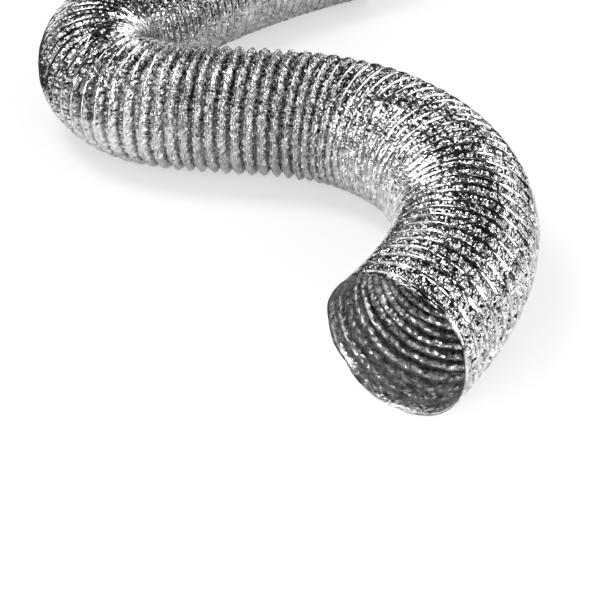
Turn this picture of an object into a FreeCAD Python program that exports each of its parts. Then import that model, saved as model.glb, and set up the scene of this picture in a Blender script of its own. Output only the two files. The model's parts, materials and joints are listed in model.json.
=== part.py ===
import FreeCAD, Part
import math
import os
from FreeCAD import Vector

# Flexible foil air duct, lying in an S on a flat floor. Millimetres, +Z up.
# Three real pieces run the whole way: an outer foil sleeve, a spring wire helix
# and an inner foil sleeve. Each is divided along its length into stiff lengths
# and soft lengths of pleats, so that the duct can bend, lift and stretch.

# Driving dimensions: cross-section
crest_radius = 77.5  # outside of the outer foil over the wire
outer_swing = 3.0  # half the depth of the outer foil's pleats
outer_wall = 0.8
wire_radius = 0.6  # of the spring wire itself
foil_gap = 0.3  # least room between a foil and the wire
inner_swing = 2.0  # half the depth of the inner foil's pleats
inner_wall = 0.5
hem_bore = 75.0  # inside radius of the plain hem at each end
hem_length = 8.0
hem_gap = 0.4  # between the two foils in a hem
floor_cut = 0.5  # how far the pleats are pressed flat on the floor

# Driving dimensions: lie of the duct
first_heading = 52.3  # degrees from +X, looking in through the near mouth
turns = 96  # whole turns of the wire
wire_start = 90.0  # degrees round the tube, where the wire starts at the near mouth

# Distance from the near mouth, and the bend there in turns of heading per metre
# (radians), to the left above zero and to the right below it
bends = [(0, 1.2), (225, 4.7), (495, 4.7), (570, 0.0), (640, 0.0),
         (725, -7.9), (920, -7.9), (960, -1.1), (1600, -1.1)]

# Distance from the near mouth, and the spacing of the wire's turns there
spacings = [(0, 17.0), (70, 15.0), (300, 14.8), (480, 15.5), (560, 16.3),
            (640, 15.0), (710, 13.6), (800, 12.8), (920, 12.8), (1000, 14.2), (1600, 14.2)]

# Lengths of the duct from the near mouth: name and whole turns of wire in each
lengths = [("mouth", 5), ("pleats_1", 4), ("near_bend_start", 5), ("pleats_2", 4),
           ("near_bend_middle", 5), ("pleats_3", 4), ("near_bend_end", 5), ("pleats_4", 4),
           ("middle_run", 10), ("pleats_5", 4), ("far_bend_start", 5), ("pleats_6", 4),
           ("far_bend_end", 5), ("pleats_7", 4), ("tail_run", 11), ("pleats_8", 4),
           ("tail_end", 13)]

rings_per_turn = 4
half_turns = 2  # arcs of the wire are fitted to each half turn
walk_step = 0.5
gap_points = 36  # points on each turn for the wire's least gap to itself

# Worked-out dimensions
outer_mean = crest_radius - outer_swing
axis_height = crest_radius - floor_cut
up = Vector(0, 0, 1)


def read_off(table, s):
    """A table's value at distance s, in a straight line between its rows."""
    for (s0, v0), (s1, v1) in zip(table, table[1:]):
        if s <= s1:
            return v0 + (v1 - v0) * (s - s0) / (s1 - s0)
    return table[-1][1]


def least_spacing():
    """The wire's least spacing along the duct, on the inside of the tightest bend."""
    places = [s for s, _ in bends + spacings]
    return min(read_off(spacings, s) * (1 - abs(read_off(bends, s)) / 1000 * crest_radius) for s in places)


# The pleats' flanks are steepest there, and the wire lies below the crest by as much as it
# needs to clear them
flank = math.atan2(outer_swing, least_spacing() / rings_per_turn)
wire_line = crest_radius - outer_wall - (wire_radius + foil_gap) / math.cos(flank)
inner_mean = wire_line - wire_radius - foil_gap - inner_swing


def walk():
    """Rows of (distance, x, y, heading, turns so far) along the centre line."""
    s, x, y, heading, count = 0.0, 0.0, 0.0, math.radians(first_heading), 0.0
    rows = [(s, x, y, heading, count)]
    ends = None
    while ends is None or s < ends:
        middle = s + walk_step / 2
        in_hem = middle < hem_length or count >= turns
        turn = 0.0 if in_hem else read_off(bends, middle) / 1000 * walk_step
        x += walk_step * math.cos(heading + turn / 2)
        y += walk_step * math.sin(heading + turn / 2)
        heading += turn
        s += walk_step
        if s > hem_length:
            count += walk_step / read_off(spacings, middle)
        rows.append((s, x, y, heading, count))
        if ends is None and count >= turns:
            ends = s + hem_length + walk_step
    return rows


def row_at(rows, column, value):
    """The walk's row where a rising column has a value."""
    low, high = 0, len(rows) - 1
    while high - low > 1:
        middle = (low + high) // 2
        if rows[middle][column] <= value:
            low = middle
        else:
            high = middle
    a, b = rows[low], rows[high]
    share = (value - a[column]) / (b[column] - a[column])
    return [p + (q - p) * share for p, q in zip(a, b)]


def plan_middle(rows):
    """The middle of the duct's outline seen from above."""
    xs, ys = [], []
    for _, x, y, heading, _ in rows:
        reach_x = crest_radius * abs(math.sin(heading))
        reach_y = crest_radius * abs(math.cos(heading))
        xs += [x - reach_x, x + reach_x]
        ys += [y - reach_y, y + reach_y]
    return (min(xs) + max(xs)) / 2, (min(ys) + max(ys)) / 2


centre_line = walk()
middle_x, middle_y = plan_middle(centre_line)


class Station:
    """A cross-section of the duct: its centre and the directions there."""

    def __init__(self, row):
        self.distance, x, y, heading, self.turn = row
        self.centre = Vector(x - middle_x, y - middle_y, axis_height)
        self.along = Vector(math.cos(heading), math.sin(heading), 0)
        self.left = Vector(-math.sin(heading), math.cos(heading), 0)

    def off(self, radius, angle):
        """A point of the cross-section, at an angle from its left towards its top."""
        return self.centre + self.left * (radius * math.cos(angle)) + up * (radius * math.sin(angle))

    def ring(self, radius, centre=None):
        """A circle whose start is always at the top, so that faces between rings don't twist."""
        circle = Part.Circle(centre or self.centre, self.along, radius)
        circle.XAxis = up
        return circle.toShape()


def at_turn(turn):
    return Station(row_at(centre_line, 4, turn))


def at_distance(s):
    return Station(row_at(centre_line, 0, s))


near_hem = at_distance(hem_length)
far_hem = at_turn(turns)
near_mouth = near_hem.centre - near_hem.along * hem_length
far_mouth = far_hem.centre + far_hem.along * hem_length
duct_length = far_hem.distance + hem_length


def wire_angle(turn):
    """Where the wire is round the tube, in radians. It winds as a left-handed screw."""
    return math.radians(wire_start) - 2 * math.pi * turn


# Foil sleeves
def sleeve_rings(start, end, mean, swing, hem_radius):
    """Rings of a pleated sleeve. Each one's centre is moved towards the wire, so the crest
    follows the wire round. A plain hem takes the place of the pleats at the duct's ends."""
    rings = []
    if start == 0:
        rings += [near_hem.ring(hem_radius, near_mouth), near_hem.ring(hem_radius)]
    for k in range(start * rings_per_turn, end * rings_per_turn + 1):
        turn = k / rings_per_turn
        if 0 < turn < turns:
            here = at_turn(turn)
            rings.append(here.ring(mean, here.off(swing, wire_angle(turn))))
    if end == turns:
        rings += [far_hem.ring(hem_radius), far_hem.ring(hem_radius, far_mouth)]
    return rings


def skin(rings, start, end):
    """The faces from each ring to the next: ruled, but a true cylinder in a hem."""
    faces = []
    for k, (a, b) in enumerate(zip(rings, rings[1:])):
        in_hem = (start == 0 and k == 0) or (end == turns and k == len(rings) - 2)
        if in_hem:
            faces.append(a.extrude(b.Curve.Center - a.Curve.Center))
        else:
            faces += Part.makeRuledSurface(a, b).Faces
    return faces


def sleeve(start, end, mean, swing, wall, hem_radius):
    """One length of a foil sleeve: an outside, an inside and two flat ends."""
    outside = sleeve_rings(start, end, mean, swing, hem_radius)
    inside = sleeve_rings(start, end, mean - wall, swing, hem_radius - wall)
    ends = []
    for k in (0, -1):
        rims = Part.Compound([Part.Wire([outside[k]]), Part.Wire([inside[k]])])
        ends.append(Part.makeFace(rims, "Part::FaceMakerBullseye"))
    shell = Part.Compound(skin(outside, start, end) + skin(inside, start, end) + ends)
    shell.sewShape()
    solid = Part.Solid(shell.Shells[0])
    if solid.Volume < 0:
        solid.reverse()
    return solid


def outer_foil(start, end):
    """The outer sleeve, pressed flat where its crests meet the floor."""
    hem_radius = hem_bore + inner_wall + hem_gap + outer_wall
    body = sleeve(start, end, outer_mean, outer_swing, outer_wall, hem_radius)
    reach = duct_length
    floor = Part.makeBox(2 * reach, 2 * reach, crest_radius, Vector(-reach, -reach, -crest_radius))
    return body.cut(floor).Solids[0]


def inner_foil(start, end):
    return sleeve(start, end, inner_mean, inner_swing, inner_wall, hem_bore + inner_wall)


# Spring wire
def wire_point(turn):
    return at_turn(turn).off(wire_line, wire_angle(turn))


def wire_direction(turn):
    small = 0.0005
    step = wire_point(turn + small) - wire_point(turn - small)
    step.normalize()
    return step


def arc_between(start, corner, end):
    """The arc from start to end whose tangents there meet at a corner."""
    chord = (start + end) * 0.5
    cosine = (chord - start).Length / (corner - start).Length
    return Part.Arc(start, chord + (corner - chord) * (cosine / (1 + cosine)), end).toShape()


def biarc(start, start_way, end, end_way):
    """Two arcs that join two points smoothly, in the directions given."""
    across = end - start
    ways = start_way + end_way
    k = 2 * (1 - start_way.dot(end_way))
    along = across.dot(ways)
    reach = (-along + math.sqrt(along * along + k * across.dot(across))) / k
    corner_1 = start + start_way * reach
    corner_2 = end - end_way * reach
    meet = (corner_1 + corner_2) * 0.5
    return [arc_between(start, corner_1, meet), arc_between(meet, corner_2, end)]


def spring_wire(start, end):
    """One length of the helix, as a tube on biarcs. The wire's own ends stop short of the hems."""
    first = max(start, 1 / rings_per_turn)
    last = min(end, turns - 1 / rings_per_turn)
    count = math.ceil((last - first) * half_turns)
    edges = []
    for k in range(count):
        a = first + (last - first) * k / count
        b = first + (last - first) * (k + 1) / count
        edges += biarc(wire_point(a), wire_direction(a), wire_point(b), wire_direction(b))
    path = Part.Wire(edges)
    section = Part.Circle(wire_point(first), wire_direction(first), wire_radius).toShape()
    tube = Part.BRepOffsetAPI.MakePipeShell(path)
    tube.add(Part.Wire([section]))
    tube.build()
    tube.makeSolid()
    return tube.shape(), path.Length


def least_wire_gap():
    """The least room between one turn of the wire and the next, on points."""
    least = None
    for k in range((turns - 2) * gap_points):
        here = wire_point(1 + k / gap_points)
        for near in range(-3, 4):
            turn = 2 + (k + near) / gap_points
            if turn < turns - 1:
                room = (wire_point(turn) - here).Length - 2 * wire_radius
                least = room if least is None else min(least, room)
    return least


def report(name, shape, expected):
    box = shape.BoundBox
    state = "valid" if shape.isValid() and len(shape.Solids) == 1 else "BAD"
    print(f"{name:32s} {state}  volume {shape.Volume:9.0f}  expected {expected:9.0f}"
          f"  z {box.ZMin:.2f} to {box.ZMax:.2f}")


def tell(name, station, centre):
    d = station.along
    print(f"{name:32s} at {centre.x / 1000:.5f} {centre.y / 1000:.5f} {centre.z / 1000:.5f}"
          f"  along {d.x:.6f} {d.y:.6f}  distance {station.distance:.1f}")


# Build every node
os.makedirs("parts", exist_ok=True)
wire_total = 0.0
start = 0
for name, count in lengths:
    end = start + count
    s0 = 0 if start == 0 else at_turn(start).distance
    s1 = duct_length if end == turns else at_turn(end).distance
    outer = outer_foil(start, end)
    inner = inner_foil(start, end)
    wire, wire_length = spring_wire(start, end)
    wire_total += wire_length
    outer_area = math.pi * outer_wall * (2 * outer_mean - outer_wall)
    inner_area = math.pi * inner_wall * (2 * inner_mean - inner_wall)
    report("outer_foil_" + name, outer, outer_area * (s1 - s0))
    report("inner_foil_" + name, inner, inner_area * (s1 - s0))
    report("spring_wire_" + name, wire, math.pi * wire_radius ** 2 * wire_length)
    middle = at_distance((s0 + s1) / 2)
    tell("middle of " + name, middle, middle.centre)
    outer.exportStep("parts/outer_foil_" + name + ".step")
    inner.exportStep("parts/inner_foil_" + name + ".step")
    wire.exportStep("parts/spring_wire_" + name + ".step")
    start = end

tell("near mouth", near_hem, near_mouth)
tell("far mouth", far_hem, far_mouth)
print(f"turns {start} of {turns}, duct {duct_length:.1f} mm long as it lies, wire {wire_total:.0f} mm")
print(f"wire line radius {wire_line:.2f}, inner foil mean radius {inner_mean:.2f}")
print(f"least gap of the wire to itself {least_wire_gap():.2f} mm")
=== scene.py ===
import bpy
import bmesh
import json
import math
import numpy as np
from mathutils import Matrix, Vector

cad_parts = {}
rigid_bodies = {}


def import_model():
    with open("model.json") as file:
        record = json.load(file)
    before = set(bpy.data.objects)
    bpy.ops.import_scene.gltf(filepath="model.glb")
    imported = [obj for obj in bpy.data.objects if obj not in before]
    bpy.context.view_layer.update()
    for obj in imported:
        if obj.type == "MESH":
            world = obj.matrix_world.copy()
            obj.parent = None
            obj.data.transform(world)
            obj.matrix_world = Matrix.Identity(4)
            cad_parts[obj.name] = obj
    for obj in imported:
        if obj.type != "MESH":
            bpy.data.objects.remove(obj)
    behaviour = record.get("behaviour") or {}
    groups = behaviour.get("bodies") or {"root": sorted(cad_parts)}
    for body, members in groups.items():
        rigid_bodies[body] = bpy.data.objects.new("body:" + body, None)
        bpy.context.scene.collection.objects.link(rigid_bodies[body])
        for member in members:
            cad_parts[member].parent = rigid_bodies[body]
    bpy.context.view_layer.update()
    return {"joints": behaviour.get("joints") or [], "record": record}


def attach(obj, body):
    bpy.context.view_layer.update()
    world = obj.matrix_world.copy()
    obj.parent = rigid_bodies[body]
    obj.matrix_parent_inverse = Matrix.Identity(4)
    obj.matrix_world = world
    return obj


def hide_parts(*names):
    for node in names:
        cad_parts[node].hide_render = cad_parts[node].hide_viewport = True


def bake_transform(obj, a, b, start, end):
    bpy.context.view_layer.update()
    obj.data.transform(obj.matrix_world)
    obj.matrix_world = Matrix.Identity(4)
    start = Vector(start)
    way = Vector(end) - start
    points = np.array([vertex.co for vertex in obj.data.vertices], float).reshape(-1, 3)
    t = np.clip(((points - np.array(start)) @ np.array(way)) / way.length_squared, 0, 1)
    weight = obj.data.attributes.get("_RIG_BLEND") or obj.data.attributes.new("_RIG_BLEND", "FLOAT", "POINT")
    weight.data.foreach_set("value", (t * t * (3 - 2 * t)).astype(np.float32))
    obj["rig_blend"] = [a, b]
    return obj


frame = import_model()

# Flexible foil duct: two plies of crumpled foil over a spring wire helix.
# The duct's line and cross-section are worked out in mm, and every mesh is in metres.

# The duct's line on the floor, from the near mouth
line = {
    "firstHeading": 52.3,       # degrees from +X
    # distance, and the bend there in 1/m, to the left where it is positive
    "bends": [(0, 1.2), (225, 4.7), (495, 4.7), (570, 0.0), (640, 0.0),
              (725, -7.9), (920, -7.9), (960, -1.1), (1600, -1.1)],
    # distance, and from one turn of wire to the next there
    "spacings": [(0, 17.0), (70, 15.0), (300, 14.8), (480, 15.5), (560, 16.3), (640, 15.0),
                 (710, 13.6), (800, 12.8), (920, 12.8), (1000, 14.2), (1600, 14.2)],
    "turns": 96,
    "hem": 8.0,                 # plain foil outside the first and last turn of wire
    "step": 0.5,                # of the walk along the line
    "axisHeight": 77.0,
}

# Lengths of the duct from the near mouth, and the whole turns of wire in each
lengths = [("mouth", 5), ("pleats_1", 4), ("near_bend_start", 5), ("pleats_2", 4),
           ("near_bend_middle", 5), ("pleats_3", 4), ("near_bend_end", 5), ("pleats_4", 4),
           ("middle_run", 10), ("pleats_5", 4), ("far_bend_start", 5), ("pleats_6", 4),
           ("far_bend_end", 5), ("pleats_7", 4), ("tail_run", 11), ("pleats_8", 4),
           ("tail_end", 13)]
gatheredLengths = ("pleats_4", "middle_run", "pleats_5")


def readOff(table, values):
    places, readings = zip(*table)
    return np.interp(values, places, readings)


def smoothStep(value, low, high):
    t = np.clip((value - low) / (high - low), 0, 1)
    return t * t * (3 - 2 * t)


def hump(value, width):
    return np.exp(-(value / width) ** 2)


def runningTotal(values):
    return np.concatenate([[0], np.cumsum(values)])


def walkLine():
    # distance, turns so far, x, y and heading at every step from the near mouth
    step, hem = line["step"], line["hem"]
    start = np.arange(0, line["bends"][-1][0], step)
    halfway = start + step / 2
    gained = np.where(start + step > hem, step / readOff(line["spacings"], halfway), 0)
    turn = runningTotal(gained)
    swerve = readOff(line["bends"], halfway) / 1000 * step
    swerve[(halfway < hem) | (turn[:-1] >= line["turns"])] = 0
    heading = math.radians(line["firstHeading"]) + runningTotal(swerve)
    middle = heading[:-1] + swerve / 2
    x = runningTotal(step * np.cos(middle))
    y = runningTotal(step * np.sin(middle))
    distance = np.concatenate([start, [start[-1] + step]])
    return distance, turn, x, y, heading


nearMouth = next(m for m in frame["record"]["mounts"] if m["name"] == "near_mouth")
walkDistance, walkTurn, walkX, walkY, walkHeading = walkLine()
walkX = walkX + nearMouth["pos_m"][0] * 1000
walkY = walkY + nearMouth["pos_m"][1] * 1000
wound = walkDistance >= line["hem"]
farHem = float(np.interp(line["turns"], walkTurn[wound], walkDistance[wound]))
ductLength = farHem + line["hem"]


def distanceAt(turn):
    # outside the wire's own turns the distance runs on at the hem's spacing
    inside = np.interp(turn, walkTurn[wound], walkDistance[wound])
    before = np.minimum(turn, 0) * line["spacings"][0][1]
    after = np.maximum(turn - line["turns"], 0) * line["spacings"][-1][1]
    return np.clip(inside, 0, farHem) + before + after


def stationAt(distance):
    # the middle of the duct, and the way to its left
    heading = np.interp(distance, walkDistance, walkHeading)
    over = np.minimum(distance, 0)
    x = np.interp(distance, walkDistance, walkX) + over * np.cos(heading)
    y = np.interp(distance, walkDistance, walkY) + over * np.sin(heading)
    centre = np.stack([x, y, np.full_like(x, line["axisHeight"])], axis=-1)
    left = np.stack([-np.sin(heading), np.cos(heading), np.zeros_like(x)], axis=-1)
    return centre, left


def centreOf(turn):
    centre, _ = stationAt(distanceAt(np.array([float(turn)])))
    return Vector(centre[0] / 1000)


# The foil in mm. A point of it has a share, 0 to 1 round the tube from the top by the left,
# and a phase, which counts pleats and is whole over the wire.
foil = {
    "columns": {"outer": (430, 280), "inner": (240, 180)},     # near part and far part
    "nearTurns": 46,
    "rowsPerTurn": {"outer": 16, "inner": 12},
    "rowsDrawnIn": 0.62,        # rows crowd towards the wire by this share
    "crest": 76.4,
    "ridge": 1.1,               # how far the wire lifts the foil
    "ridgeWidth": 0.95,
    "groove": (1.0, 2.2, 0.75),     # beside the wire: how deep, how far from it, how wide
    # painted shade beside the wire: how much the groove's colour darkens
    "paintedGrooveShade": 0.85,
    "paintedGrooveShadeFor": (4, 15),   # turns this close have no painted shade in their grooves, and turns this far apart have it in full
    # distance, and the depth of the pleats there
    "depths": [(0, 1.2), (120, 1.4), (400, 2.0), (480, 5.0), (540, 10.5), (725, 10.6), (755, 8.5),
               (790, 4.6), (820, 3.3), (890, 3.0), (930, 3.2), (1000, 3.7), (1600, 4.2)],
    "liningDepths": [(0, 0.5), (35, 0.7), (70, 3.6), (400, 4.2), (480, 5.5), (540, 11.0),
                     (725, 11.1), (755, 9.0), (790, 5.1), (820, 3.8), (890, 3.5), (930, 3.7),
                     (1000, 4.2), (1600, 4.7)],
    "leaning": (0.9, 0.45, 1.3),    # pleats deepen on the inside of a bend: how fast, the least and most
    "tightest": 0.5,            # where pleats are close, the wire's marks narrow down to this share
    "archPower": 1.25,
    "rimEase": 15.0,            # pleats die out towards the rim over this distance
    "rimBead": (0.7, 1.5),      # the foil's turned edge: how proud, how wide
    "rimHeld": (1, 7),          # no crumpling up to the first distance from the rim, all past the second
    "rimSmooth": (3, 9),        # the same for flat facets
    "raggedReach": 6,
    "heldByWire": {"gathered": (1.2, 2.8), "spread": (1.9, 4.2)},
    "heldLooseness": 0.25,      # how loose the foil is at the wire, where 1 is free
    # panels: how many round and per pleat, the slopes of their dents and tilts, how far they sink,
    # and the height and width of the crease between them
    "gathered": [{"round": 56, "perTurn": 3, "scatter": 0.4, "dent": 0.5, "tilt": 0.35,
                  "sunk": 0.7, "crease": 0.3, "width": 0.14, "seed": 90},
                 {"round": 110, "perTurn": 5, "scatter": 0.4, "dent": 0.3, "tilt": 0.2,
                  "sunk": 0.3, "crease": 0.2, "width": 0.2, "seed": 91}],
    "spread": [{"round": 60, "perTurn": 1, "scatter": 0.32, "dent": 0.5, "tilt": 0.2,
                "sunk": 1.2, "crease": 0.6, "width": 0.12, "seed": 80},
               {"round": 100, "perTurn": 2, "scatter": 0.4, "dent": 0.2, "tilt": 0.15,
                "sunk": 0.4, "crease": 0.25, "width": 0.2, "seed": 81}],
    "dentStrength": (0.7, 0.3),     # of the weakest dent, and how much more the strongest has
    "sway": 0.6,                # how far gathered panels also move along the duct, against their height
    "swaySeed": 10,             # added to the panels' seeds for that
    "slack": 0.3,               # the foil rarely stands prouder of the crests than this
    "slackPull": 0.65,          # the share of what stands prouder that is drawn back
    "spreadUnder": (2.6, 5.5),  # pleats shallower than this are creased as spread foil
    "flatOver": 0.5,            # spread foil has flat facets where it is this much spread
    "paintedShadeFrom": (0.52, 0.94),     # where painted shade darkens the pleats towards the valley
    "paintedRecessShade": (0.9, 3.6, (1.5, 3.5)),   # painted shade in the recesses at the wire: how dark, how wide, for pleats this deep
    "plyGap": 0.35,
    "wireRoom": 1.5,
    "wireRoomWidth": 1.5,
    "liningGap": 1.0,           # the lining hangs this much lower where the foil is spread
    "offFloor": 0.03,
    "spareTurns": 4,            # of random cells before the first turn and after the last
    "pastRims": (2, 1),         # pleats made past the near and the far rim, and then cut off
    "cut": 1e-7,                # how near the cut a point counts as on it
    "weld": 2e-6,               # metres
}

# How uneven the foil is: by how much, in cells how many round and per turn, with which seed
unevenness = {
    "outerDepth": (0.15, 9, 1, 44),     # shares of the depth
    "innerDepth": (0.45, 9, 1, 44),
    "radius": (0.4, 5, 1, 45),          # the others in mm
    "pitch": (0.9, 7, 1, 43),
    "lining": (1.6, 13, 2, 48),         # along the duct, where the foil is spread
    "rim": (1.9, 19, 1, 46),
    "fine": (0.08, 280, 16, 70),
}


def cellAt(share, phase, cellsRound, cellsPerTurn):
    across = share * cellsRound
    along = (phase + foil["spareTurns"]) * cellsPerTurn
    return across, along, np.floor(across).astype(int), np.floor(along).astype(int)


def rowsOfCells(cellsPerTurn):
    return (line["turns"] + 2 * foil["spareTurns"]) * cellsPerTurn


def facets(share, phase, cellsRound, cellsPerTurn, seed):
    # random heights at the corners of cells that follow the helix, with flat facets between
    rng = np.random.default_rng(seed)
    rows = rowsOfCells(cellsPerTurn)
    heights = rng.uniform(-1, 1, (rows, cellsRound))
    slants = rng.random((rows, cellsRound)) < 0.5
    across, along, j, i = cellAt(share, phase, cellsRound, cellsPerTurn)
    fa, fb = across - j, along - i

    def pick(table, i, j):
        wraps = j // cellsRound
        return table[np.clip(i + wraps * cellsPerTurn, 0, rows - 1), j - wraps * cellsRound]

    h00, h10 = pick(heights, i, j), pick(heights, i, j + 1)
    h01, h11 = pick(heights, i + 1, j), pick(heights, i + 1, j + 1)
    lower = np.where(fa + fb < 1, h00 + (h10 - h00) * fa + (h01 - h00) * fb,
                     h11 + (h01 - h11) * (1 - fa) + (h10 - h11) * (1 - fb))
    upper = np.where(fa > fb, h00 + (h10 - h00) * fa + (h11 - h10) * fb,
                     h00 + (h11 - h01) * fa + (h01 - h00) * fb)
    return np.where(pick(slants, i, j), lower, upper)


def uneven(kind, share, phase):
    size, cellsRound, cellsPerTurn, seed = unevenness[kind]
    return size * facets(share, phase, cellsRound, cellsPerTurn, seed)


def panels(share, phase, values, seed):
    # dented panels at random tilts round scattered points: three flat faces fall to each point,
    # and a raised crease runs where two panels meet
    cellsRound, cellsPerTurn = values["round"], values["perTurn"]
    wide = 2 * math.pi * foil["crest"] / cellsRound
    tall = line["spacings"][1][1] / cellsPerTurn
    rng = np.random.default_rng(seed)
    rows = rowsOfCells(cellsPerTurn)
    scatter = rng.uniform(-1, 1, (6, rows, cellsRound))
    scatter[:2] = 0.5 + values["scatter"] * scatter[:2]
    across, along, j, i = cellAt(share, phase, cellsRound, cellsPerTurn)
    nearest = np.full(across.shape, 9.0)    # further than any panel's point
    second = nearest
    owner = [np.zeros(across.shape) for _ in range(6)]
    for di in (-1, 0, 1):
        for dj in (-1, 0, 1):
            wraps = (j + dj) // cellsRound
            row = np.clip(i + di + wraps * cellsPerTurn, 0, rows - 1)
            u, v, *rest = scatter[:, row, j + dj - wraps * cellsRound]
            du, dv = across - (j + dj + u), along - (i + di + v)
            away = np.hypot(du, dv)
            closer = away < nearest
            second = np.where(closer, nearest, np.minimum(second, away))
            nearest = np.where(closer, away, nearest)
            owner = [np.where(closer, new, old) for new, old in zip((du * wide, dv * tall, *rest), owner)]
    x, y, tiltX, tiltY, turned, strength = owner
    faces = [x * np.cos(math.pi * turned + way) + y * np.sin(math.pi * turned + way)
             for way in (0, 2 * math.pi / 3, 4 * math.pi / 3)]
    weakest, more = foil["dentStrength"]
    dent = values["dent"] * (weakest + more * strength) * np.max(faces, axis=0)
    crease = values["crease"] * hump(second - nearest, 2 * values["width"])
    return values["tilt"] * (tiltX * x + tiltY * y) + dent - values["sunk"] + crease


def crumpled(share, phase, style, seedShift=0):
    return sum(panels(share, phase, values, values["seed"] + seedShift) for values in foil[style])


def pleatPhase(rawPhase):
    # rows crowd towards the wire
    return rawPhase - foil["rowsDrawnIn"] * np.sin(2 * math.pi * rawPhase) / (2 * math.pi)


def foilPoints(share, rawPhase, inner):
    # the foil's places in metres, and what its finish and its blends read at each of them
    phase = pleatPhase(rawPhase)
    turn = phase + share
    distance = distanceAt(turn)
    fromRim = np.minimum(distance, ductLength - distance)
    angle = math.pi / 2 - 2 * math.pi * share

    # pleats, closer together and deeper on the inside of a bend
    lean = readOff(line["bends"], distance) / 1000 * foil["crest"] * np.cos(angle)
    pitch = readOff(line["spacings"], distance) * (1 - lean)
    deepens, least, most = foil["leaning"]
    leaning = np.clip(1 + deepens * lean, least, most)
    depth = readOff(foil["depths"], distance)
    spread = 1 - smoothStep(depth * leaning, *foil["spreadUnder"])
    liningDepth = readOff(foil["liningDepths"], distance)
    if inner:
        depth = liningDepth
    depth = depth * leaning * (1 + uneven("innerDepth" if inner else "outerDepth", share, phase))
    depth = depth * smoothStep(fromRim, 0, foil["rimEase"])
    toWire = np.abs(phase - np.round(phase))
    onFoil = toWire * pitch / np.clip(pitch / line["spacings"][1][1], foil["tightest"], 1)
    arch = (2 * toWire) ** foil["archPower"]
    if inner:
        arch = arch + spread * (0.5 - 0.5 * np.cos(2 * math.pi * toWire) - arch)
    radius = foil["crest"] - depth * arch + uneven("radius", share, phase)

    # the wire's ridge, and a groove on each side of it
    ridge = foil["ridge"] * hump(onFoil, foil["ridgeWidth"])
    deep, off, wide = foil["groove"]
    beside = spread * hump(onFoil - off, wide)
    if inner:
        radius = radius + (1 - spread) * ridge
    else:
        radius = radius + ridge - deep * beside

    # crumpling, where neither the wire nor the rim holds the foil
    freeGathered = smoothStep(onFoil, *foil["heldByWire"]["gathered"])
    freeSpread = smoothStep(onFoil, *foil["heldByWire"]["spread"])
    free = freeGathered + spread * (freeSpread - freeGathered)
    free = free * smoothStep(fromRim, *foil["rimHeld"])
    crumple = uneven("fine", share, rawPhase)
    crumple = crumple + (1 - spread) * crumpled(share, phase, "gathered")
    crumple = crumple + spread * crumpled(share, phase, "spread")
    radius = radius + free * crumple
    over = np.maximum(radius - foil["crest"] - foil["slack"], 0)
    radius = radius - foil["slackPull"] * over * free
    proud, wide = foil["rimBead"]
    atRim = hump(fromRim, wide)
    radius = radius + proud * atRim

    # painted shade in the valleys, grooves and recesses, and the lining's place under the outer ply
    paintedShade = (1 - spread) * smoothStep(2 * toWire, *foil["paintedShadeFrom"])
    if inner:
        # painted shade in the lining's recesses at the wire
        dark, wide, deepEnough = foil["paintedRecessShade"]
        recess = spread * smoothStep(liningDepth, *deepEnough)
        paintedShade = paintedShade + dark * recess * hump(onFoil, wide)
        distance = distance + spread * uneven("lining", share, phase)
        room = foil["wireRoom"] * (1 - spread) * hump(onFoil, foil["wireRoomWidth"])
        gap = foil["plyGap"] + room + foil["liningGap"] * spread
        radius = radius - gap * (1 - atRim)
    else:
        # painted shade in the grooves beside the wire
        paintedShade = paintedShade + foil["paintedGrooveShade"] * beside * smoothStep(pitch, *foil["paintedGrooveShadeFor"])

    # wandering along the duct
    distance = distance + uneven("pitch", share, phase)
    distance = distance + np.exp(-fromRim / foil["raggedReach"]) * uneven("rim", share, 0 * phase)
    swayed = crumpled(share, phase, "gathered", foil["swaySeed"])
    distance = distance + foil["sway"] * (1 - spread) * free * swayed

    centre, left = stationAt(distance)
    points = centre + left * (radius * np.cos(angle))[:, None]
    points[:, 2] += radius * np.sin(angle)
    points[:, 2] = np.maximum(points[:, 2], foil["offFloor"] + (foil["plyGap"] if inner else 0))
    readings = {
        "turn": turn,
        "looseness": foil["heldLooseness"] + (1 - foil["heldLooseness"]) * free,
        "paintedShade": paintedShade,
        "creased": spread * smoothStep(fromRim, *foil["rimSmooth"]),
    }
    return points / 1000, readings


def placeInScene(name, data):
    placed = bpy.data.objects.new(name, data)
    bpy.context.collection.objects.link(placed)
    return placed


def coordinatesOf(mesh):
    flat = np.zeros(len(mesh.vertices) * 3)
    mesh.vertices.foreach_get("co", flat)
    return flat.reshape(-1, 3)


def addReading(mesh, name, values):
    mesh.attributes.new(name, "FLOAT", "POINT").data.foreach_set("value", values.astype(np.float32))


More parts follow.
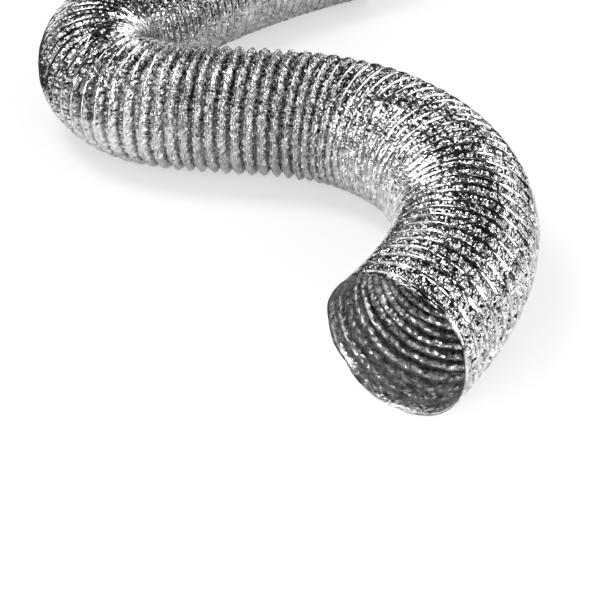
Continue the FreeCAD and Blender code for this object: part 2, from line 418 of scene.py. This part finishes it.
def foilSheet(name, firstPhase, lastPhase, inner):
    # a flat sheet of the foil, x round the tube and y along the helix, is trimmed at the rims and wound up
    ply = "inner" if inner else "outer"
    rows = round((lastPhase - firstPhase) * foil["rowsPerTurn"][ply])
    nearColumns, farColumns = foil["columns"][ply]
    columns = nearColumns if lastPhase <= foil["nearTurns"] else farColumns
    bm = bmesh.new()
    bmesh.ops.create_grid(bm, x_segments=columns, y_segments=rows, size=0.5)
    xs = [v.co.x for v in bm.verts]
    ys = [v.co.y for v in bm.verts]
    lowX, highX, lowY, highY = min(xs), max(xs), min(ys), max(ys)
    for v in bm.verts:
        v.co.x = (v.co.x - lowX) / (highX - lowX)
        v.co.y = firstPhase + (v.co.y - lowY) / (highY - lowY) * (lastPhase - firstPhase)
    nearRim = -line["hem"] / line["spacings"][0][1]
    farRim = line["turns"] + line["hem"] / line["spacings"][-1][1]
    for rim, way, past in ((nearRim, -1, firstPhase < 0), (farRim, 1, lastPhase > line["turns"])):
        if past:
            everything = list(bm.verts) + list(bm.edges) + list(bm.faces)
            bmesh.ops.bisect_plane(bm, geom=everything, dist=foil["cut"], plane_co=(0, rim, 0),
                                   plane_no=(way, way, 0), clear_outer=True, clear_inner=False)
    mesh = bpy.data.meshes.new(name)
    bm.to_mesh(mesh)
    bm.free()
    flat = coordinatesOf(mesh)
    points, readings = foilPoints(flat[:, 0], flat[:, 1], inner)
    mesh.vertices.foreach_set("co", points.ravel())
    for reading, values in readings.items():
        addReading(mesh, reading, values)
    mesh.update()
    bm = bmesh.new()
    bm.from_mesh(mesh)
    bmesh.ops.remove_doubles(bm, verts=bm.verts, dist=foil["weld"])
    creased = bm.verts.layers.float["creased"]
    for face in bm.faces:
        face.smooth = inner or face.verts[0][creased] < foil["flatOver"]
    if not inner:
        bmesh.ops.reverse_faces(bm, faces=bm.faces)
    bm.to_mesh(mesh)
    bm.free()
    return placeInScene(name, mesh)


# The spring wire between the plies, in mm
wire = {
    "radius": 0.6,
    "below": 0.9,               # its middle lies this far below the foil's ridge
    "pointsPerTurn": 40,
    "runOut": 0.44,             # turns past the first and last whole one
    "offFloor": 0.3,
    "routeReadings": 4000,      # places along a length at which its turns are read off
}


def wirePoints(turn):
    whole = np.floor(turn)
    share = turn - whole
    centre, left = stationAt(distanceAt(turn) + uneven("pitch", share, whole))
    radius = foil["crest"] + foil["ridge"] - wire["below"] + uneven("radius", share, whole)
    angle = math.pi / 2 - 2 * math.pi * turn
    points = centre + left * (radius * np.cos(angle))[:, None]
    points[:, 2] = np.maximum(points[:, 2] + radius * np.sin(angle), wire["radius"] + wire["offFloor"])
    return points / 1000


def wireLength(name, first, last):
    count = round((last - first) * wire["pointsPerTurn"]) + 1
    curve = bpy.data.curves.new(name, "CURVE")
    curve.dimensions = "3D"
    curve.bevel_depth = wire["radius"] / 1000
    curve.bevel_resolution = 1
    curve.use_fill_caps = True
    spline = curve.splines.new("POLY")
    spline.points.add(count - 1)
    for point, place in zip(spline.points, wirePoints(np.linspace(first, last, count))):
        point.co = (*place, 1)
    draft = placeInScene(name + "_curve", curve)
    bpy.context.view_layer.update()
    mesh = bpy.data.meshes.new_from_object(draft)
    bpy.data.objects.remove(draft)
    mesh.name = name
    # each point of the mesh belongs to the turn that is nearest to it
    turn = np.linspace(first, last, wire["routeReadings"])
    route = wirePoints(turn)
    nearest = [int(np.argmin(((route - place) ** 2).sum(axis=1))) for place in coordinatesOf(mesh)]
    addReading(mesh, "turn", turn[nearest])
    return placeInScene(name, mesh)


# Finishes
def setSockets(tree, node, sockets):
    # a socket gets a plain value, or a link from another node's output
    for socket, value in sockets.items():
        if isinstance(value, bpy.types.NodeSocket):
            tree.links.new(value, node.inputs[socket])
        else:
            node.inputs[socket].default_value = value


def addNode(tree, kind, sockets, **settings):
    node = tree.nodes.new("ShaderNode" + kind)
    for setting, value in settings.items():
        setattr(node, setting, value)
    setSockets(tree, node, sockets)
    return node


def newMaterial(name):
    material = bpy.data.materials.new(name)
    material.use_nodes = True
    tree = material.node_tree
    return material, tree, tree.nodes["Principled BSDF"]


foilFinish = {
    "color": (0.94, 0.945, 0.955, 1),
    "paintedShadeTone": 0.14,                     # share of the colour that the painted shade in a valley keeps
    "roughness": (0.04, 0.14),
    "smudges": (160, 3),                    # noise in a metre, and its detail
    "smudgeEdges": (0.35, 0.65),
    "creases": [(140, 1.0), (330, 0.18)],   # facets in a metre, share of the height
    "creaseHeight": 0.0006,
    "fullHeightAt": 300,                    # facets in a metre; larger facets stand higher
    "patches": (180, 0.3),                  # dull patches in a metre, the dullest one's share of colour
}
gatheredFinish = {
    **foilFinish,
    "creases": [(260, 1.0), (560, 0.3)],
    "patches": (240, 0.45),
}
liningFinish = {
    **foilFinish,
    "color": (0.92, 0.925, 0.935, 1),
    # painted shade in the lining's valleys and recesses keeps this share of the colour
    "paintedShadeTone": 0.3,
    "roughness": (0.18, 0.38),
    "creaseHeight": 0.001,
    "patches": (190, 0.45),
}
wireFinish = {
    **foilFinish,
    "color": (0.62, 0.62, 0.63, 1),
    "roughness": (0.2, 0.35),
    "creaseHeight": 0.0,
}


def foilMaterial(name, finish):
    material, tree, shader = newMaterial(name)
    where = addNode(tree, "TexCoord", {}).outputs["Object"]

    # colour: painted shade in the valleys, grooves and recesses, with patches of duller foil
    deep = addNode(tree, "Attribute", {}, attribute_name="paintedShade").outputs["Fac"]
    paintedShadeColor = [c * finish["paintedShadeTone"] for c in finish["color"][:3]] + [1]
    tone = addNode(tree, "Mix", {"Factor": deep, "A": finish["color"], "B": paintedShadeColor}, data_type="RGBA")
    patchScale, dullest = finish["patches"]
    patch = addNode(tree, "TexVoronoi", {"Scale": patchScale, "Vector": where})
    dull = addNode(tree, "MapRange", {"Value": patch.outputs["Color"], "To Min": dullest})
    color = addNode(tree, "VectorMath", {0: tone.outputs["Result"], "Scale": dull.outputs["Result"]},
                    operation="SCALE")

    # the finest creases, in full only where the foil is loose
    height = 0
    for scale, share in finish["creases"]:
        cells = addNode(tree, "TexVoronoi", {"Scale": scale, "Vector": where}, feature="DISTANCE_TO_EDGE")
        steepness = share * finish["fullHeightAt"] / scale
        height = addNode(tree, "Math", {0: cells.outputs["Distance"], 1: steepness, 2: height},
                         operation="MULTIPLY_ADD").outputs[0]
    loose = addNode(tree, "Attribute", {}, attribute_name="looseness").outputs["Fac"]
    held = addNode(tree, "Math", {0: height, 1: loose}, operation="MULTIPLY")
    bump = addNode(tree, "Bump", {"Strength": 1, "Distance": finish["creaseHeight"],
                                  "Height": held.outputs[0]})

    # smudges
    smudgeScale, smudgeDetail = finish["smudges"]
    smudge = addNode(tree, "TexNoise", {"Scale": smudgeScale, "Detail": smudgeDetail, "Vector": where})
    roughness = addNode(tree, "MapRange", {
        "Value": smudge.outputs["Fac"],
        "From Min": finish["smudgeEdges"][0], "From Max": finish["smudgeEdges"][1],
        "To Min": finish["roughness"][0], "To Max": finish["roughness"][1]})

    setSockets(tree, shader, {"Metallic": 1, "Base Color": color.outputs["Vector"],
                              "Normal": bump.outputs["Normal"], "Roughness": roughness.outputs["Result"]})
    return material


outsideFoil = foilMaterial("crumpled_foil_outside", foilFinish)
gatheredFoil = foilMaterial("gathered_foil_outside", gatheredFinish)
insideFoil = foilMaterial("crumpled_foil_inside", liningFinish)
springSteel = foilMaterial("drawn_spring_wire", wireFinish)
print("finishes ready")


# Pieces: stiff lengths ride on their own body, pleats bend between two
pleatJoints = {}
for joint in frame["joints"]:
    for each in joint["deforming_nodes"]:
        pleatJoints[each["node"].split("_", 2)[2]] = joint


def carry(piece, name, start, end):
    if name in pleatJoints:
        joint = pleatJoints[name]
        sides = [joint["parent"], joint["child"]]
        order = [each for each, _ in lengths]
        sides.sort(key=order.index)
        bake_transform(piece, sides[0], sides[1], start=centreOf(start), end=centreOf(end))
        # the bend's cross-sections fan out, so the blend goes by turns along the duct
        turn = np.zeros(len(piece.data.vertices), np.float32)
        piece.data.attributes["turn"].data.foreach_get("value", turn)
        weight = smoothStep(turn, start, end).astype(np.float32)
        piece.data.attributes["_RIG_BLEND"].data.foreach_set("value", weight)
    else:
        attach(piece, name)


def addSkin(side, name, start, end, finish):
    # a pleat winds on through a whole turn, so a stiff length stops one pleat short of its end,
    # and the pleats between two of them start one earlier
    if name in pleatJoints:
        first, last = start - 1, end
    else:
        first = -foil["pastRims"][0] if start == 0 else start
        last = end + foil["pastRims"][1] if end == line["turns"] else end - 1
    piece = foilSheet(side + "_skin_" + name, first, last, side == "inner")
    piece.data.materials.append(finish)
    carry(piece, name, start, end)
    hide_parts(side + "_foil_" + name)


def addWire(name, start, end):
    first = -wire["runOut"] if start == 0 else start
    last = end + wire["runOut"] if end == line["turns"] else end
    piece = wireLength("wire_" + name, first, last)
    piece.data.materials.append(springSteel)
    carry(piece, name, start, end)
    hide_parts("spring_wire_" + name)


end = 0
for name, turns in lengths:
    start, end = end, end + turns
    addSkin("outer", name, start, end, gatheredFoil if name in gatheredLengths else outsideFoil)
    addSkin("inner", name, start, end, insideFoil)
    addWire(name, start, end)
    print("built", name)


def flatSheet(name, halfSize):
    bm = bmesh.new()
    bmesh.ops.create_grid(bm, x_segments=1, y_segments=1, size=halfSize)
    mesh = bpy.data.meshes.new(name)
    bm.to_mesh(mesh)
    bm.free()
    return placeInScene(name, mesh)


def raysOf(tree):
    # 1 for a ray from the camera, and 1 for a ray that a mirror or glass sends on
    rays = addNode(tree, "LightPath", {}).outputs
    mirrored = addNode(tree, "Math", {0: rays["Is Glossy Ray"], 1: rays["Is Transmission Ray"]},
                       operation="MAXIMUM")
    return rays["Is Camera Ray"], mirrored.outputs[0]


# Floor
floor = {
    "size": 60.0,
    "color": (0.92, 0.92, 0.92, 1),
    "roughness": 0.9,
    "paleToCamera": 0.55,
    "paleInMirror": 0.1,
    "fade": (0.9, 2.4),         # metres from the middle over which the floor turns white
}


def makeFloor():
    piece = flatSheet("floor", floor["size"] / 2)
    material, tree, shader = newMaterial("pale_floor")
    setSockets(tree, shader, {"Base Color": floor["color"], "Roughness": floor["roughness"]})
    fromCamera, mirrored = raysOf(tree)
    inMirror = addNode(tree, "Math", {0: mirrored, 1: floor["paleInMirror"]}, operation="MULTIPLY")
    where = addNode(tree, "TexCoord", {}).outputs["Object"]
    away = addNode(tree, "VectorMath", {0: where}, operation="LENGTH")
    toCamera = addNode(tree, "MapRange", {
        "Value": away.outputs["Value"],
        "From Min": floor["fade"][0], "From Max": floor["fade"][1],
        "To Min": floor["paleToCamera"], "To Max": 1.0}, interpolation_type="SMOOTHSTEP")
    paleness = addNode(tree, "Math", {0: fromCamera, 1: toCamera.outputs["Result"], 2: inMirror.outputs[0]},
                       operation="MULTIPLY_ADD")
    white = addNode(tree, "Emission", {})
    mix = addNode(tree, "MixShader", {"Fac": paleness.outputs[0], 1: shader.outputs["BSDF"],
                                      2: white.outputs["Emission"]})
    setSockets(tree, tree.nodes["Material Output"], {"Surface": mix.outputs["Shader"]})
    piece.data.materials.append(material)


makeFloor()

# Studio: soft boxes, and dark screens that only the foil's reflections see
boxes = [
    {"name": "overhead_left", "at": (-0.7, 0.1, 1.7), "size": (0.6, 0.8), "power": 15},
    {"name": "left_side", "at": (-1.7, -0.1, 0.95), "size": (2.0, 0.8), "power": 6},
    {"name": "low_left", "at": (-1.6, -0.1, 0.42), "size": (0.9, 0.2), "power": 1.0},
    {"name": "front_right", "at": (1.0, -1.5, 0.9), "size": (0.5, 0.5), "power": 6.5},
    {"name": "right_side", "at": (1.8, 0.1, 0.9), "size": (2.0, 0.8), "power": 12},
    {"name": "back_strip", "at": (0.8, 1.6, 0.9), "size": (1.0, 0.25), "power": 4},
    {"name": "front", "at": (0.35, -1.9, 0.5), "size": (1.0, 0.4), "power": 7.5},
    {"name": "into_mouth", "at": (-0.25, -0.97, 0.3), "size": (0.35, 0.35), "power": 0.6,
     "beam": 60, "toward": nearMouth["pos_m"]},
]
aim = Vector((0.05, -0.1, 0.08))


def turnToward(item, target):
    item.rotation_euler = (target - item.location).to_track_quat("-Z", "Y").to_euler()


def makeBox(values):
    data = bpy.data.lights.new(values["name"], "AREA")
    data.shape = "RECTANGLE"
    data.size, data.size_y = values["size"]
    data.energy = values["power"]
    data.spread = math.radians(values.get("beam", 180))
    lamp = placeInScene(values["name"], data)
    lamp.location = values["at"]
    turnToward(lamp, Vector(values.get("toward", aim)))
    lamp.visible_camera = False


for values in boxes:
    makeBox(values)

screenCloth = {"color": (0.02, 0.02, 0.02, 1), "roughness": 1}
screens = [
    {"name": "back_screen", "at": (0.0, 2.6, 1.6), "size": (5.0, 3.0)},
    {"name": "left_screen", "at": (-2.6, 0.0, 1.6), "size": (5.0, 3.0)},
    {"name": "right_screen", "at": (2.6, 0.0, 1.6), "size": (5.0, 3.0)},
    {"name": "front_screen", "at": (0.0, -2.8, 1.6), "size": (5.0, 3.0)},
    {"name": "top_screen", "at": (0.0, 0.0, 3.1), "size": (5.0, 5.0), "level": True},
    {"name": "back_card", "at": (0.0, 1.7, 0.01), "size": (5.0, 1.7), "level": True},
    {"name": "left_card", "at": (-1.43, -0.4, 0.012), "size": (2.14, 4.0), "level": True},
]


def makeScreen(values):
    piece = flatSheet(values["name"], 0.5)
    piece.location = values["at"]
    piece.scale = (*values["size"], 1)
    if not values.get("level"):
        turnToward(piece, Vector((aim.x, aim.y, values["at"][2])))
    material, tree, shader = newMaterial(values["name"] + "_cloth")
    setSockets(tree, shader, {"Base Color": screenCloth["color"], "Roughness": screenCloth["roughness"]})
    piece.data.materials.append(material)
    piece.visible_camera = False
    piece.visible_diffuse = False
    piece.visible_shadow = False


for values in screens:
    makeScreen(values)

# White world: full strength to the camera and in reflections, half on the object
studio = {"color": (1, 1, 1, 1), "onObject": 0.5, "seen": 1.0}
world = bpy.data.worlds.new("studio")
bpy.context.scene.world = world
world.use_nodes = True
fromCamera, mirrored = raysOf(world.node_tree)
seen = addNode(world.node_tree, "Math", {0: fromCamera, 1: mirrored}, operation="MAXIMUM")
strength = addNode(world.node_tree, "MapRange", {
    "Value": seen.outputs[0], "To Min": studio["onObject"], "To Max": studio["seen"]})
setSockets(world.node_tree, world.node_tree.nodes["Background"],
           {"Color": studio["color"], "Strength": strength.outputs["Result"]})

# Camera at the photograph's angle: metres from the near mouth, degrees, mm
view = {"fromMouth": (-0.07981, -0.70858, 0.66185), "tiltDown": 40.93, "lens": 61.19, "sensor": 36}
cameraData = bpy.data.cameras.new("camera")
cameraData.lens = view["lens"]
cameraData.sensor_width = view["sensor"]
camera = placeInScene("camera", cameraData)
camera.location = Vector(nearMouth["pos_m"]) + Vector(view["fromMouth"])
camera.rotation_euler = (math.radians(90 - view["tiltDown"]), 0, 0)
bpy.context.scene.camera = camera
bpy.context.scene.view_settings.view_transform = "Standard"
print("stage, lamps and camera ready")
